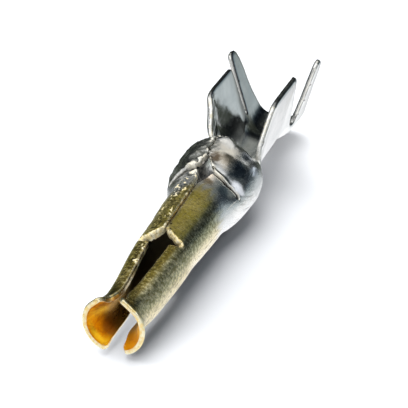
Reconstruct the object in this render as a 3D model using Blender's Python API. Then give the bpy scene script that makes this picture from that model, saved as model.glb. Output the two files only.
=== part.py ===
"""Crimp socket contact: one stamped and rolled sheet. Metres, +Z up, barrel axis along Y, mouth towards -Y."""
import bpy
import bmesh
import numpy as np

for old in list(bpy.data.objects):
    bpy.data.objects.remove(old, do_unlink=True)

MM = 0.001

# ---- driving dimensions, millimetres; stations run from the mouth rearwards ----
SHEET = 0.20            # sheet thickness
RIM_THIN = 0.68         # coined thickness at the mouth, as a part of the sheet
R_BLANK = 0.73          # mid radius of the barrel
W_WIN = 0.60            # half width of the window at its corners
SLOT_TOP = 0.33         # half width of the slot between the tines, on top
S_CORNER, S_APEX = 3.25, 3.55   # window corners and window apex
S_STRIP = 3.08          # rear end of the tines' turned-in edge strips
S_BSLOT = 3.30          # rear end of the bottom slot
S_HOLE_F, S_HOLE_R = 6.10, 7.36 # front and rear point of the relief hole
S_SLIT, SLIT_GAP = 6.86, 0.06   # lanced slit round the collar
SLIT_END = 102          # the slit ends at this angle from the underside, degrees
S_CREAR = 9.05          # rear edge of the closed collar
S_FLOOR = 15.25         # rear edge of the barrel floor
SEAM_GAP = 0.05         # gap of the rolled seam
REST_Z = -1.165         # flat pressed under the collar, from the barrel axis

# stations and values of the smooth curves that shape the part
TUBE = [(0, .73), (3.4, .73), (5.8, .845), (6.6, .86), (9.0, .86), (16, .86)]
BULGE = [(5.9, 0), (6.35, .05), (6.9, .20), (7.5, .325), (8.1, .36), (8.6, .30), (9.2, .08), (9.7, 0), (16, 0)]
SEAM = [(3.5, 0), (5.5, .01), (7.2, .035), (9.1, .15), (16, .15)]
TINE_X = [(0, .14), (.25, .02), (.75, -.15), (1.4, -.12), (3.3, 0), (16, 0)]
TINE_RX = [(0, .66), (.25, .66), (.75, .70), (3.3, .73), (16, .73)]
TINE_RZ = [(0, .73), (.25, .69), (.75, .66), (1.6, .68), (3.3, .73), (16, .73)]
TINE_Z = [(0, -.20), (.75, -.19), (2.0, -.10), (3.6, 0), (16, 0)]
STRIP = [(0, 42), (.5, 15), (1.2, 0), (3.1, 2), (16, 2)]
WING_R = [(9, .82), (9.5, .73), (10.4, .66), (12.3, .66), (13.9, .88), (16, .92)]
WING_Z = [(9, 0), (9.5, .13), (10.4, .15), (12.3, .15), (13.9, .12), (16, .18)]
WING_LEAN_R = [(9, 12), (10.4, 15), (12.6, 15.5), (13.6, 18), (16, 18)]
WING_LEAN_L = [(9, 9), (10.4, 11.5), (12.6, 12.5), (13.6, 19), (16, 21)]
# blank edges of the wings: station and half width, from the collar notch to the floor's rear edge
FRONT_WING_R = [(9.33, 1.66), (9.37, 1.76), (9.43, 1.88), (9.56, 2.09), (9.80, 2.46), (9.97, 2.74), (10.05, 2.85),
                (10.2, 2.92), (10.7, 2.95)]
FRONT_WING_L = [(9.33, 1.66), (9.36, 1.80), (9.42, 2.00), (9.52, 2.20), (9.75, 2.50), (10.0, 2.72), (10.2, 2.86),
                (10.4, 2.93), (10.7, 2.95)]
GAP_R = [(12.35, 2.97), (12.47, 2.92), (12.55, 2.80), (12.75, 2.40), (13.0, 1.76), (13.14, 1.36), (13.19, 1.20),
         (13.26, 1.11), (13.35, 1.06), (13.44, 1.05), (13.53, 1.08), (13.60, 1.16), (13.64, 1.32), (13.78, 2.40)]
GAP_L = [(12.35, 2.97), (12.47, 2.92), (12.55, 2.80), (12.75, 2.40), (13.0, 1.80), (13.2, 1.40), (13.27, 1.25),
         (13.33, 1.20), (13.42, 1.18), (13.5, 1.20), (13.56, 1.26), (13.6, 1.40), (13.76, 2.40)]
REAR_WING_R = [(13.86, 3.00), (13.90, 3.17), (13.98, 3.31), (14.08, 3.37), (14.2, 3.38), (14.35, 3.33), (14.45, 3.20),
               (14.57, 2.68), (14.66, 1.90), (14.85, 1.40), (15.05, .90), (15.2, .45), (S_FLOOR, 0)]
REAR_WING_L = [(13.86, 3.00), (13.90, 3.17), (13.97, 3.29), (14.08, 3.345), (14.25, 3.36), (14.42, 3.33), (14.56, 3.22),
               (14.67, 3.00), (14.74, 2.60), (14.76, 2.10), (14.80, 1.75), (14.90, 1.40), (15.05, .90), (15.2, .45), (S_FLOOR, 0)]


def knots(s, pts):
    """Smooth curve through (station, value) pairs that doesn't overshoot them."""
    x = np.array([p[0] for p in pts], float)
    y = np.array([p[1] for p in pts], float)
    h = np.diff(x)
    d = np.diff(y) / h
    m = np.zeros(len(x))
    for i in range(1, len(x) - 1):
        if d[i - 1] * d[i] > 0:
            w1, w2 = 2 * h[i] + h[i - 1], h[i] + 2 * h[i - 1]
            m[i] = (w1 + w2) / (w1 / d[i - 1] + w2 / d[i])
    s = np.clip(np.asarray(s, float), x[0], x[-1])
    i = np.clip(np.searchsorted(x, s, side='right') - 1, 0, len(h) - 1)
    t = (s - x[i]) / h[i]
    return ((2 * t**3 - 3 * t**2 + 1) * y[i] + (t**3 - 2 * t**2 + t) * h[i] * m[i]
            + (-2 * t**3 + 3 * t**2) * y[i + 1] + (t**3 - t**2) * h[i] * m[i + 1])


def smooth(x, a, b):
    t = np.clip((np.asarray(x, float) - a) / (b - a), 0, 1)
    return t * t * (3 - 2 * t)


def seam(s):
    """Where the rolled seam runs, in radians left of the top; it wanders a little over the collar."""
    s = np.asarray(s, float)
    return knots(s, SEAM) + smooth(s, 7.05, 7.5) * (.022 * np.sin(8.3 * s) + .014 * np.sin(17.0 * s + 1.2))


def section(s, u, rear, side):
    """Mid-surface point (x, z) at station s and arc length u from the underside, for one half."""
    R, B = knots(s, TUBE), knots(s, BULGE)
    lift = B / .36
    th = u / (R + B)
    # the lanced collar: in front of the slit its top stays low, behind it the top domes up
    q = smooth(th, np.radians(SLIT_END + 2), np.radians(SLIT_END + 34))
    low = np.where(rear, np.where(side > 0, .55, .25) * (1 - smooth(s, S_SLIT - .1, S_SLIT + .75)), .93)
    r = R + B * (1 - q * low) + lift * .035 * np.cos(5 * (th - np.radians(18))) * (1 - .6 * q)
    # the rear of its top is pressed in, right of the seam
    top = np.pi - th
    pressed = smooth(top, .04, .36) * (1 - smooth(top, .85, 1.35)) * smooth(s, 7.5, 8.3)
    r -= .17 * np.where(rear & (side > 0), pressed, 0)
    x = r * np.sin(th) - .06 * lift * side * smooth(th, 0, .6)
    z = -r * np.cos(th) + .04 * lift
    # the spring tines, with the edges of their slot turned in to a flat strip
    e = u - (np.pi * R_BLANK - W_WIN)
    e = .5 * (e + np.sqrt(e**2 + .0036))
    a = (u - e) / R_BLANK
    g = np.radians(knots(s, STRIP))
    cx, rx, rz, zc = knots(s, TINE_X), knots(s, TINE_RX), knots(s, TINE_RZ), knots(s, TINE_Z)
    k = smooth(s, S_STRIP + .035, S_STRIP + .06)
    xt = cx + rx * np.sin(a) - e * np.cos(g)
    zt = zc - rz * np.cos(a) + e * np.sin(g)
    xt += k * (cx + rx * np.sin(u / R_BLANK) - xt)
    zt += k * (zc - rz * np.cos(u / R_BLANK) - zt)
    mouth = 1 - smooth(s, .2, 1.6)                   # the mouth stands a little to the left
    xt += mouth * np.where(side > 0, -.03 - .07 * np.sin(np.minimum(a, np.pi / 2)), .07)
    x, z = np.where(s < 3.5, xt, x), np.where(s < 3.5, zt, z)
    # the open wire barrel and insulation barrel: a round floor and straight leaning wings
    wb = smooth(s, 8.95, 9.55)
    wb += np.where(side < 0, smooth(u, .5, 1.3), 0) * (smooth(s, 9.0, 10.3) - wb)
    rw, zw = knots(s, WING_R), knots(s, WING_Z)
    psi = np.pi / 2 - np.radians(np.where(side > 0, knots(s, WING_LEAN_R), knots(s, WING_LEAN_L)))
    e = np.maximum(u - rw * psi, 0)
    a = np.minimum(u / rw, psi)
    x = x + wb * (rw * np.sin(a) + e * np.cos(psi) - x)
    z = z + wb * (zw - rw * np.cos(a) + e * np.sin(psi) - z)
    # the left wing's front edge stands out a little
    bell = .15 * np.exp(-((s - 9.62) / .40)**2) * smooth(u, 1.9, 2.35) * (1 - smooth(u, 2.4, 2.95))
    bell -= .11 * np.exp(-((s - 9.40) / .32)**2) * smooth(u, 1.2, 1.65) * (1 - smooth(u, 1.9, 2.2))
    x = x + np.where(side < 0, bell, 0) * smooth(s, 9.2, 9.4)
    # the underside of the collar is pressed flat
    flat = (s > 6.2) & (s < 9.7) & (th < 1.2)
    return x, np.where(flat, np.maximum(z, REST_Z + SHEET / 2), z)


def angle(s, u):
    """Degrees from the top of the closed part, positive to the right."""
    r = knots(s, TUBE) + knots(s, BULGE)
    return np.degrees(np.pi - np.abs(u) / r) * np.where(u < 0, -1, 1)


def eave(t, side):
    """Station of the window's rear edge, from the apex (t = 0) to the corner (t = 1); it looks straight from the front."""
    rise = (1 - t)**2.3 - np.where(side > 0, 0, 1.4) * t * (1 - t)
    return S_CORNER + (S_APEX - S_CORNER) * rise


def mid(s, u, rear):
    side = np.where(u < 0, -1.0, 1.0)
    x, z = section(s, np.abs(u), rear, side)
    # the slit leans forward on the right
    round_to = np.pi - np.abs(u) / (knots(s, TUBE) + knots(s, BULGE))
    lean = .14 * np.exp(-((s - S_SLIT) / .5)**2) * smooth(round_to, .05, .6) * (1 - smooth(round_to, 1.5, 2.2))
    return np.stack([side * x, s - np.where(side > 0, lean, 0), z], -1)


def form(s, u, w):
    """Bend the flat blank: station s, arc length u and height w over the mid-surface give a point."""
    rear = s > S_SLIT
    h = 2e-3
    ds = mid(s + h, u, rear) - mid(s - h, u, rear)
    du = mid(s, u + h, rear) - mid(s, u - h, rear)
    n = np.cross(ds, du)
    n /= np.maximum(np.linalg.norm(n, axis=-1, keepdims=True), 1e-12)
    w = w * knots(s, [(0, RIM_THIN), (.35, .8), (1.5, 1), (16, 1)])
    return mid(s, u, rear) + n * w[..., None]


def blank_edge(side, step):
    """One long edge of the blank, from the mouth to the floor's rear edge, as (station, half width)."""
    half = np.pi * R_BLANK
    wide = .31 if side > 0 else .16         # the relief hole is wider on the right
    slot = SLOT_TOP if side > 0 else SLOT_TOP + .05

    def rolled(s):
        r = knots(s, TUBE) + knots(s, BULGE)
        return float((np.pi + side * seam(s)) * r - SEAM_GAP / 2)

    def run(a, b, width):
        n = max(int(round(abs(b - a) / step)), 2)
        return [(s, width(s)) for s in np.linspace(a, b, n + 1)[1:]]

    tab = .20 if side > 0 else .10          # the flared ends reach further round than the tines
    edge = [(0.0, half - slot + tab - .07), (.02, half - slot + tab - .02), (.07, half - slot + tab)]
    edge += run(.07, .45, lambda s: half - slot - .03 + (tab + .03) * (1 - smooth(s, .12, .45)))
    edge += run(.45, S_STRIP - .05, lambda s: half - slot - .03 * (1 - smooth(s, .3, 1)))
    edge += [(S_STRIP - .015, half - slot - .015), (S_STRIP, half - slot - .05)]
    edge += [(S_STRIP, half - W_WIN + .04), (S_STRIP + .02, half - W_WIN), (S_CORNER - .03, half - W_WIN),
             (S_CORNER, half - W_WIN + .03)]
    n = int(round(.62 / step))
    edge += [(float(eave(t, side)), half - SEAM_GAP / 2 - (W_WIN - .03 - SEAM_GAP / 2) * t) for t in np.linspace(1, 0, n + 1)[1:]]
    edge += run(S_APEX, S_HOLE_F, rolled)
    f, r = S_SLIT - SLIT_GAP / 2, S_SLIT + SLIT_GAP / 2
    edge += run(S_HOLE_F, f - .03, lambda s: rolled(s) - wide * (s - S_HOLE_F) / (f - S_HOLE_F))
    edge += [(f, rolled(f) - wide - .03)]
    near, far = rolled(S_SLIT) - wide - .03, (knots(S_SLIT, TUBE) + knots(S_SLIT, BULGE)) * np.radians(SLIT_END)
    n = int(round((near - far) / step))
    edge += [(f, u) for u in np.linspace(near, far + .03, n + 1)[1:]] + [(S_SLIT, far)]
    edge += [(r, u) for u in np.linspace(far + .03, near, n + 1)] + [(r + .03, near + .03)]
    edge += run(r + .03, S_HOLE_R, lambda s: rolled(s) - (wide + .0) * (S_HOLE_R - s) / (S_HOLE_R - r))
    edge += run(S_HOLE_R, S_CREAR - .05, rolled)
    outline = FRONT_WING_R + GAP_R + REAR_WING_R if side > 0 else FRONT_WING_L + GAP_L + REAR_WING_L
    top, notch = rolled(S_CREAR), outline[0][1]
    edge += [(S_CREAR - .01, top - .02)]
    n = int(round((top - notch) / step))
    edge += [(S_CREAR, u) for u in np.linspace(top - .07, notch + .04, n + 1)]
    edge += [(9.19 - .14 * np.cos(a), notch - .14 * np.sin(a)) for a in np.linspace(0, np.pi, 7)[1:-1]]
    wing = []
    for (s0, u0), (s1, u1) in zip(outline[:-1], outline[1:]):
        n = max(int(round(np.hypot(s1 - s0, u1 - u0) / step)), 1)
        wing += [(s0 + (s1 - s0) * t / n, u0 + (u1 - u0) * t / n) for t in range(n)]
    return edge + wing


def slot_edge(side, step):
    """One long edge of the bottom slot, from its rear end to the mouth, as (station, half width)."""
    n = int(round(S_BSLOT / step))
    right = [(0, .05), (.15, .10), (.4, .24), (.75, .31), (1.5, .32), (2.9, .30), (16, .30)]
    left = [(0, .10), (.3, .25), (.75, .38), (1.5, .38), (2.9, .30), (16, .30)]
    width = right if side > 0 else left
    end = [(S_BSLOT - .3 + .3 * np.cos(a), .3 * np.sin(a)) for a in np.linspace(0, np.pi / 2, max(int(.5 / step), 4))[1:]]
    sides = [(s, float(knots(s, width))) for s in np.linspace(S_BSLOT - .3, .12, n)[1:]]
    w = sides[-1][1]
    return [(S_BSLOT, 0.0)] + end + sides + [(.07, w + .004), (.03, w + .02), (.01, w + .05), (0.0, w + .085)]


def mouth_edge(side, step):
    """The mouth's edge between the bottom slot and the top slot, as (station, half width)."""
    near, far = slot_edge(side, step)[-1][1], blank_edge(side, step)[0][1]
    return [(0.0, u) for u in np.linspace(near, far, int(2 / step) + 1)[1:-1]]


def blank_outline(step):
    """The whole outline of the flat blank, as (u, s) points in order."""
    right, left = (slot_edge(side, step) + mouth_edge(side, step) + blank_edge(side, step) for side in (1, -1))
    return [(u, s) for s, u in right] + [(0.0, S_FLOOR)] + [(-u, s) for s, u in reversed(left[1:])]


def blank_plate(step, stations, arcs, inner=0.0, outer=0.0, segments=2):
    """The flat blank as a closed plate with rounded rims, cut across at the stations and along at the arcs."""
    bm = bmesh.new()
    ring = [bm.verts.new((u, s, -SHEET / 2)) for u, s in blank_outline(step)]
    base = bm.faces.new(ring)
    top = bmesh.ops.extrude_face_region(bm, geom=[base])
    bmesh.ops.translate(bm, vec=(0, 0, SHEET), verts=[g for g in top['geom'] if isinstance(g, bmesh.types.BMVert)])
    bmesh.ops.recalc_face_normals(bm, faces=bm.faces[:])
    for side, radius in ((-1, inner), (1, outer)):
        if radius:
            rim = [e for e in bm.edges if all(abs(v.co.z - side * SHEET / 2) < 1e-6 for v in e.verts)]
            bmesh.ops.bevel(bm, geom=rim, offset=radius, segments=segments, profile=.5, affect='EDGES', clamp_overlap=False)
    for axis, places in ((1, stations), (0, arcs)):
        for place in places:
            co, no = [0, 0, 0], [0, 0, 0]
            co[axis], no[axis] = float(place), 1
            bmesh.ops.bisect_plane(bm, geom=bm.verts[:] + bm.edges[:] + bm.faces[:], dist=1e-4, plane_co=co, plane_no=no)
    return bm


def spaced(runs):
    """Cut positions from (start, end, step) runs."""
    out = []
    for a, b, step in runs:
        out += list(np.linspace(a, b, max(int(round((b - a) / step)), 1) + 1)[:-1])
    return out


CUT_STATIONS = spaced([(.08, .8, .12), (.8, 3.1, .38), (3.2, 3.6, .2), (3.6, 6.0, .6), (6.0, 6.8, .2), (6.86, 9.3, .17),
                       (9.3, 10.4, .22), (10.4, 12.4, .5), (12.4, 14.6, .27), (14.6, 15.2, .3)])
CUT_ARCS = [sign * u for u in spaced([(.17, 3.75, .175)]) for sign in (1, -1)] + [0.0]

def contact_body():
    bm = blank_plate(.16, CUT_STATIONS, CUT_ARCS)
    bm.verts.ensure_lookup_table()
    flat = np.array([v.co[:] for v in bm.verts])
    at = form(flat[:, 1], flat[:, 0], flat[:, 2])
    # the origin is at the bottom centre of the contact's box
    low, high = at.min(axis=0), at.max(axis=0)
    at -= [(low[0] + high[0]) / 2, (low[1] + high[1]) / 2, REST_Z]
    for v, p in zip(bm.verts, at):
        v.co = p * MM
    bmesh.ops.reverse_faces(bm, faces=bm.faces[:])  # the bend turns the blank's upper side outwards
    bmesh.ops.triangulate(bm, faces=bm.faces[:])
    mesh = bpy.data.meshes.new("contact_body")
    bm.to_mesh(mesh)
    bm.free()
    return bpy.data.objects.new("contact_body", mesh)


def metal(name, colour, roughness):
    mat = bpy.data.materials.new(name)
    mat.use_nodes = True
    bsdf = mat.node_tree.nodes["Principled BSDF"]
    bsdf.inputs["Base Color"].default_value = (*colour, 1)
    bsdf.inputs["Metallic"].default_value = 1.0
    bsdf.inputs["Roughness"].default_value = roughness
    return mat


home = bpy.data.collections.new("crimp_socket_contact")
bpy.context.scene.collection.children.link(home)
body = contact_body()
body.data.materials.append(metal("plated_brass", (.62, .56, .36), .28))
home.objects.link(body)
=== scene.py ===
"""Looks of the crimp socket contact: one stamped, rolled and plated sheet, on a pale floor in soft studio light."""
import math
import bpy
import bmesh
import numpy as np
from mathutils import Matrix, Vector


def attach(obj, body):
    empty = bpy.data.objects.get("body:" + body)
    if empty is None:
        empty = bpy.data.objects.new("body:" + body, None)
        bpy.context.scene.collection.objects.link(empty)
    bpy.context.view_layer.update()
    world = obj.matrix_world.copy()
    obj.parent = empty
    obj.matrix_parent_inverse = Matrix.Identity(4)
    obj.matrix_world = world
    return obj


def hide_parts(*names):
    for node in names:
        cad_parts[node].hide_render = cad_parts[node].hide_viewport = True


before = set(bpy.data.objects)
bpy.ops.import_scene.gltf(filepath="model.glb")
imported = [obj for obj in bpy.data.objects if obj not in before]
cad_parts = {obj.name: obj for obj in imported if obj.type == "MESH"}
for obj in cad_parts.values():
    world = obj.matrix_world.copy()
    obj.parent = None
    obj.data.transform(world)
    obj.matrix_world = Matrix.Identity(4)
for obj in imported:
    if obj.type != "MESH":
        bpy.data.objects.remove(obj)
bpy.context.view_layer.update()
MM = 0.001

# ---- driving dimensions, millimetres; stations run from the mouth rearwards ----
SHEET = 0.20            # sheet thickness
RIM_THIN = 0.68         # coined thickness at the mouth, as a part of the sheet
R_BLANK = 0.73          # mid radius of the barrel
W_WIN = 0.60            # half width of the window at its corners
SLOT_TOP = 0.33         # half width of the slot between the tines, on top
S_CORNER, S_APEX = 3.25, 3.55   # window corners and window apex
S_STRIP = 3.08          # rear end of the tines' turned-in edge strips
S_BSLOT = 3.30          # rear end of the bottom slot
S_HOLE_F, S_HOLE_R = 6.10, 7.36 # front and rear point of the relief hole
S_SLIT, SLIT_GAP = 6.86, 0.06   # lanced slit round the collar
SLIT_END = 102          # the slit ends at this angle from the underside, degrees
S_CREAR = 9.05          # rear edge of the closed collar
S_FLOOR = 15.25         # rear edge of the barrel floor
SEAM_GAP = 0.05         # gap of the rolled seam
REST_Z = -1.165         # flat pressed under the collar, from the barrel axis

# stations and values of the smooth curves that shape the part
TUBE = [(0, .73), (3.4, .73), (5.8, .845), (6.6, .86), (9.0, .86), (16, .86)]
BULGE = [(5.9, 0), (6.35, .05), (6.9, .20), (7.5, .325), (8.1, .36), (8.6, .30), (9.2, .08), (9.7, 0), (16, 0)]
SEAM = [(3.5, 0), (5.5, .01), (7.2, .035), (9.1, .15), (16, .15)]
TINE_X = [(0, .14), (.25, .02), (.75, -.15), (1.4, -.12), (3.3, 0), (16, 0)]
TINE_RX = [(0, .66), (.25, .66), (.75, .70), (3.3, .73), (16, .73)]
TINE_RZ = [(0, .73), (.25, .69), (.75, .66), (1.6, .68), (3.3, .73), (16, .73)]
TINE_Z = [(0, -.20), (.75, -.19), (2.0, -.10), (3.6, 0), (16, 0)]
STRIP = [(0, 42), (.5, 15), (1.2, 0), (3.1, 2), (16, 2)]
WING_R = [(9, .82), (9.5, .73), (10.4, .66), (12.3, .66), (13.9, .88), (16, .92)]
WING_Z = [(9, 0), (9.5, .13), (10.4, .15), (12.3, .15), (13.9, .12), (16, .18)]
WING_LEAN_R = [(9, 12), (10.4, 15), (12.6, 15.5), (13.6, 18), (16, 18)]
WING_LEAN_L = [(9, 9), (10.4, 11.5), (12.6, 12.5), (13.6, 19), (16, 21)]
# blank edges of the wings: station and half width, from the collar notch to the floor's rear edge
FRONT_WING_R = [(9.33, 1.66), (9.37, 1.76), (9.43, 1.88), (9.56, 2.09), (9.80, 2.46), (9.97, 2.74), (10.05, 2.85),
                (10.2, 2.92), (10.7, 2.95)]
FRONT_WING_L = [(9.33, 1.66), (9.36, 1.80), (9.42, 2.00), (9.52, 2.20), (9.75, 2.50), (10.0, 2.72), (10.2, 2.86),
                (10.4, 2.93), (10.7, 2.95)]
GAP_R = [(12.35, 2.97), (12.47, 2.92), (12.55, 2.80), (12.75, 2.40), (13.0, 1.76), (13.14, 1.36), (13.19, 1.20),
         (13.26, 1.11), (13.35, 1.06), (13.44, 1.05), (13.53, 1.08), (13.60, 1.16), (13.64, 1.32), (13.78, 2.40)]
GAP_L = [(12.35, 2.97), (12.47, 2.92), (12.55, 2.80), (12.75, 2.40), (13.0, 1.80), (13.2, 1.40), (13.27, 1.25),
         (13.33, 1.20), (13.42, 1.18), (13.5, 1.20), (13.56, 1.26), (13.6, 1.40), (13.76, 2.40)]
REAR_WING_R = [(13.86, 3.00), (13.90, 3.17), (13.98, 3.31), (14.08, 3.37), (14.2, 3.38), (14.35, 3.33), (14.45, 3.20),
               (14.57, 2.68), (14.66, 1.90), (14.85, 1.40), (15.05, .90), (15.2, .45), (S_FLOOR, 0)]
REAR_WING_L = [(13.86, 3.00), (13.90, 3.17), (13.97, 3.29), (14.08, 3.345), (14.25, 3.36), (14.42, 3.33), (14.56, 3.22),
               (14.67, 3.00), (14.74, 2.60), (14.76, 2.10), (14.80, 1.75), (14.90, 1.40), (15.05, .90), (15.2, .45), (S_FLOOR, 0)]


def knots(s, pts):
    """Smooth curve through (station, value) pairs that doesn't overshoot them."""
    x = np.array([p[0] for p in pts], float)
    y = np.array([p[1] for p in pts], float)
    h = np.diff(x)
    d = np.diff(y) / h
    m = np.zeros(len(x))
    for i in range(1, len(x) - 1):
        if d[i - 1] * d[i] > 0:
            w1, w2 = 2 * h[i] + h[i - 1], h[i] + 2 * h[i - 1]
            m[i] = (w1 + w2) / (w1 / d[i - 1] + w2 / d[i])
    s = np.clip(np.asarray(s, float), x[0], x[-1])
    i = np.clip(np.searchsorted(x, s, side='right') - 1, 0, len(h) - 1)
    t = (s - x[i]) / h[i]
    return ((2 * t**3 - 3 * t**2 + 1) * y[i] + (t**3 - 2 * t**2 + t) * h[i] * m[i]
            + (-2 * t**3 + 3 * t**2) * y[i + 1] + (t**3 - t**2) * h[i] * m[i + 1])


def smooth(x, a, b):
    t = np.clip((np.asarray(x, float) - a) / (b - a), 0, 1)
    return t * t * (3 - 2 * t)


def seam(s):
    """Where the rolled seam runs, in radians left of the top; it wanders a little over the collar."""
    s = np.asarray(s, float)
    return knots(s, SEAM) + smooth(s, 7.05, 7.5) * (.022 * np.sin(8.3 * s) + .014 * np.sin(17.0 * s + 1.2))


def section(s, u, rear, side):
    """Mid-surface point (x, z) at station s and arc length u from the underside, for one half."""
    R, B = knots(s, TUBE), knots(s, BULGE)
    lift = B / .36
    th = u / (R + B)
    # the lanced collar: in front of the slit its top stays low, behind it the top domes up
    q = smooth(th, np.radians(SLIT_END + 2), np.radians(SLIT_END + 34))
    low = np.where(rear, np.where(side > 0, .55, .25) * (1 - smooth(s, S_SLIT - .1, S_SLIT + .75)), .93)
    r = R + B * (1 - q * low) + lift * .035 * np.cos(5 * (th - np.radians(18))) * (1 - .6 * q)
    # the rear of its top is pressed in, right of the seam
    top = np.pi - th
    pressed = smooth(top, .04, .36) * (1 - smooth(top, .85, 1.35)) * smooth(s, 7.5, 8.3)
    r -= .17 * np.where(rear & (side > 0), pressed, 0)
    x = r * np.sin(th) - .06 * lift * side * smooth(th, 0, .6)
    z = -r * np.cos(th) + .04 * lift
    # the spring tines, with the edges of their slot turned in to a flat strip
    e = u - (np.pi * R_BLANK - W_WIN)
    e = .5 * (e + np.sqrt(e**2 + .0036))
    a = (u - e) / R_BLANK
    g = np.radians(knots(s, STRIP))
    cx, rx, rz, zc = knots(s, TINE_X), knots(s, TINE_RX), knots(s, TINE_RZ), knots(s, TINE_Z)
    k = smooth(s, S_STRIP + .035, S_STRIP + .06)
    xt = cx + rx * np.sin(a) - e * np.cos(g)
    zt = zc - rz * np.cos(a) + e * np.sin(g)
    xt += k * (cx + rx * np.sin(u / R_BLANK) - xt)
    zt += k * (zc - rz * np.cos(u / R_BLANK) - zt)
    mouth = 1 - smooth(s, .2, 1.6)                   # the mouth stands a little to the left
    xt += mouth * np.where(side > 0, -.03 - .07 * np.sin(np.minimum(a, np.pi / 2)), .07)
    x, z = np.where(s < 3.5, xt, x), np.where(s < 3.5, zt, z)
    # the open wire barrel and insulation barrel: a round floor and straight leaning wings
    wb = smooth(s, 8.95, 9.55)
    wb += np.where(side < 0, smooth(u, .5, 1.3), 0) * (smooth(s, 9.0, 10.3) - wb)
    rw, zw = knots(s, WING_R), knots(s, WING_Z)
    psi = np.pi / 2 - np.radians(np.where(side > 0, knots(s, WING_LEAN_R), knots(s, WING_LEAN_L)))
    e = np.maximum(u - rw * psi, 0)
    a = np.minimum(u / rw, psi)
    x = x + wb * (rw * np.sin(a) + e * np.cos(psi) - x)
    z = z + wb * (zw - rw * np.cos(a) + e * np.sin(psi) - z)
    # the left wing's front edge stands out a little
    bell = .15 * np.exp(-((s - 9.62) / .40)**2) * smooth(u, 1.9, 2.35) * (1 - smooth(u, 2.4, 2.95))
    bell -= .11 * np.exp(-((s - 9.40) / .32)**2) * smooth(u, 1.2, 1.65) * (1 - smooth(u, 1.9, 2.2))
    x = x + np.where(side < 0, bell, 0) * smooth(s, 9.2, 9.4)
    # the underside of the collar is pressed flat
    flat = (s > 6.2) & (s < 9.7) & (th < 1.2)
    return x, np.where(flat, np.maximum(z, REST_Z + SHEET / 2), z)


def angle(s, u):
    """Degrees from the top of the closed part, positive to the right."""
    r = knots(s, TUBE) + knots(s, BULGE)
    return np.degrees(np.pi - np.abs(u) / r) * np.where(u < 0, -1, 1)


def eave(t, side):
    """Station of the window's rear edge, from the apex (t = 0) to the corner (t = 1); it looks straight from the front."""
    rise = (1 - t)**2.3 - np.where(side > 0, 0, 1.4) * t * (1 - t)
    return S_CORNER + (S_APEX - S_CORNER) * rise


def mid(s, u, rear):
    side = np.where(u < 0, -1.0, 1.0)
    x, z = section(s, np.abs(u), rear, side)
    # the slit leans forward on the right
    round_to = np.pi - np.abs(u) / (knots(s, TUBE) + knots(s, BULGE))
    lean = .14 * np.exp(-((s - S_SLIT) / .5)**2) * smooth(round_to, .05, .6) * (1 - smooth(round_to, 1.5, 2.2))
    return np.stack([side * x, s - np.where(side > 0, lean, 0), z], -1)


def form(s, u, w):
    """Bend the flat blank: station s, arc length u and height w over the mid-surface give a point."""
    rear = s > S_SLIT
    h = 2e-3
    ds = mid(s + h, u, rear) - mid(s - h, u, rear)
    du = mid(s, u + h, rear) - mid(s, u - h, rear)
    n = np.cross(ds, du)
    n /= np.maximum(np.linalg.norm(n, axis=-1, keepdims=True), 1e-12)
    w = w * knots(s, [(0, RIM_THIN), (.35, .8), (1.5, 1), (16, 1)])
    return mid(s, u, rear) + n * w[..., None]


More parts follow.
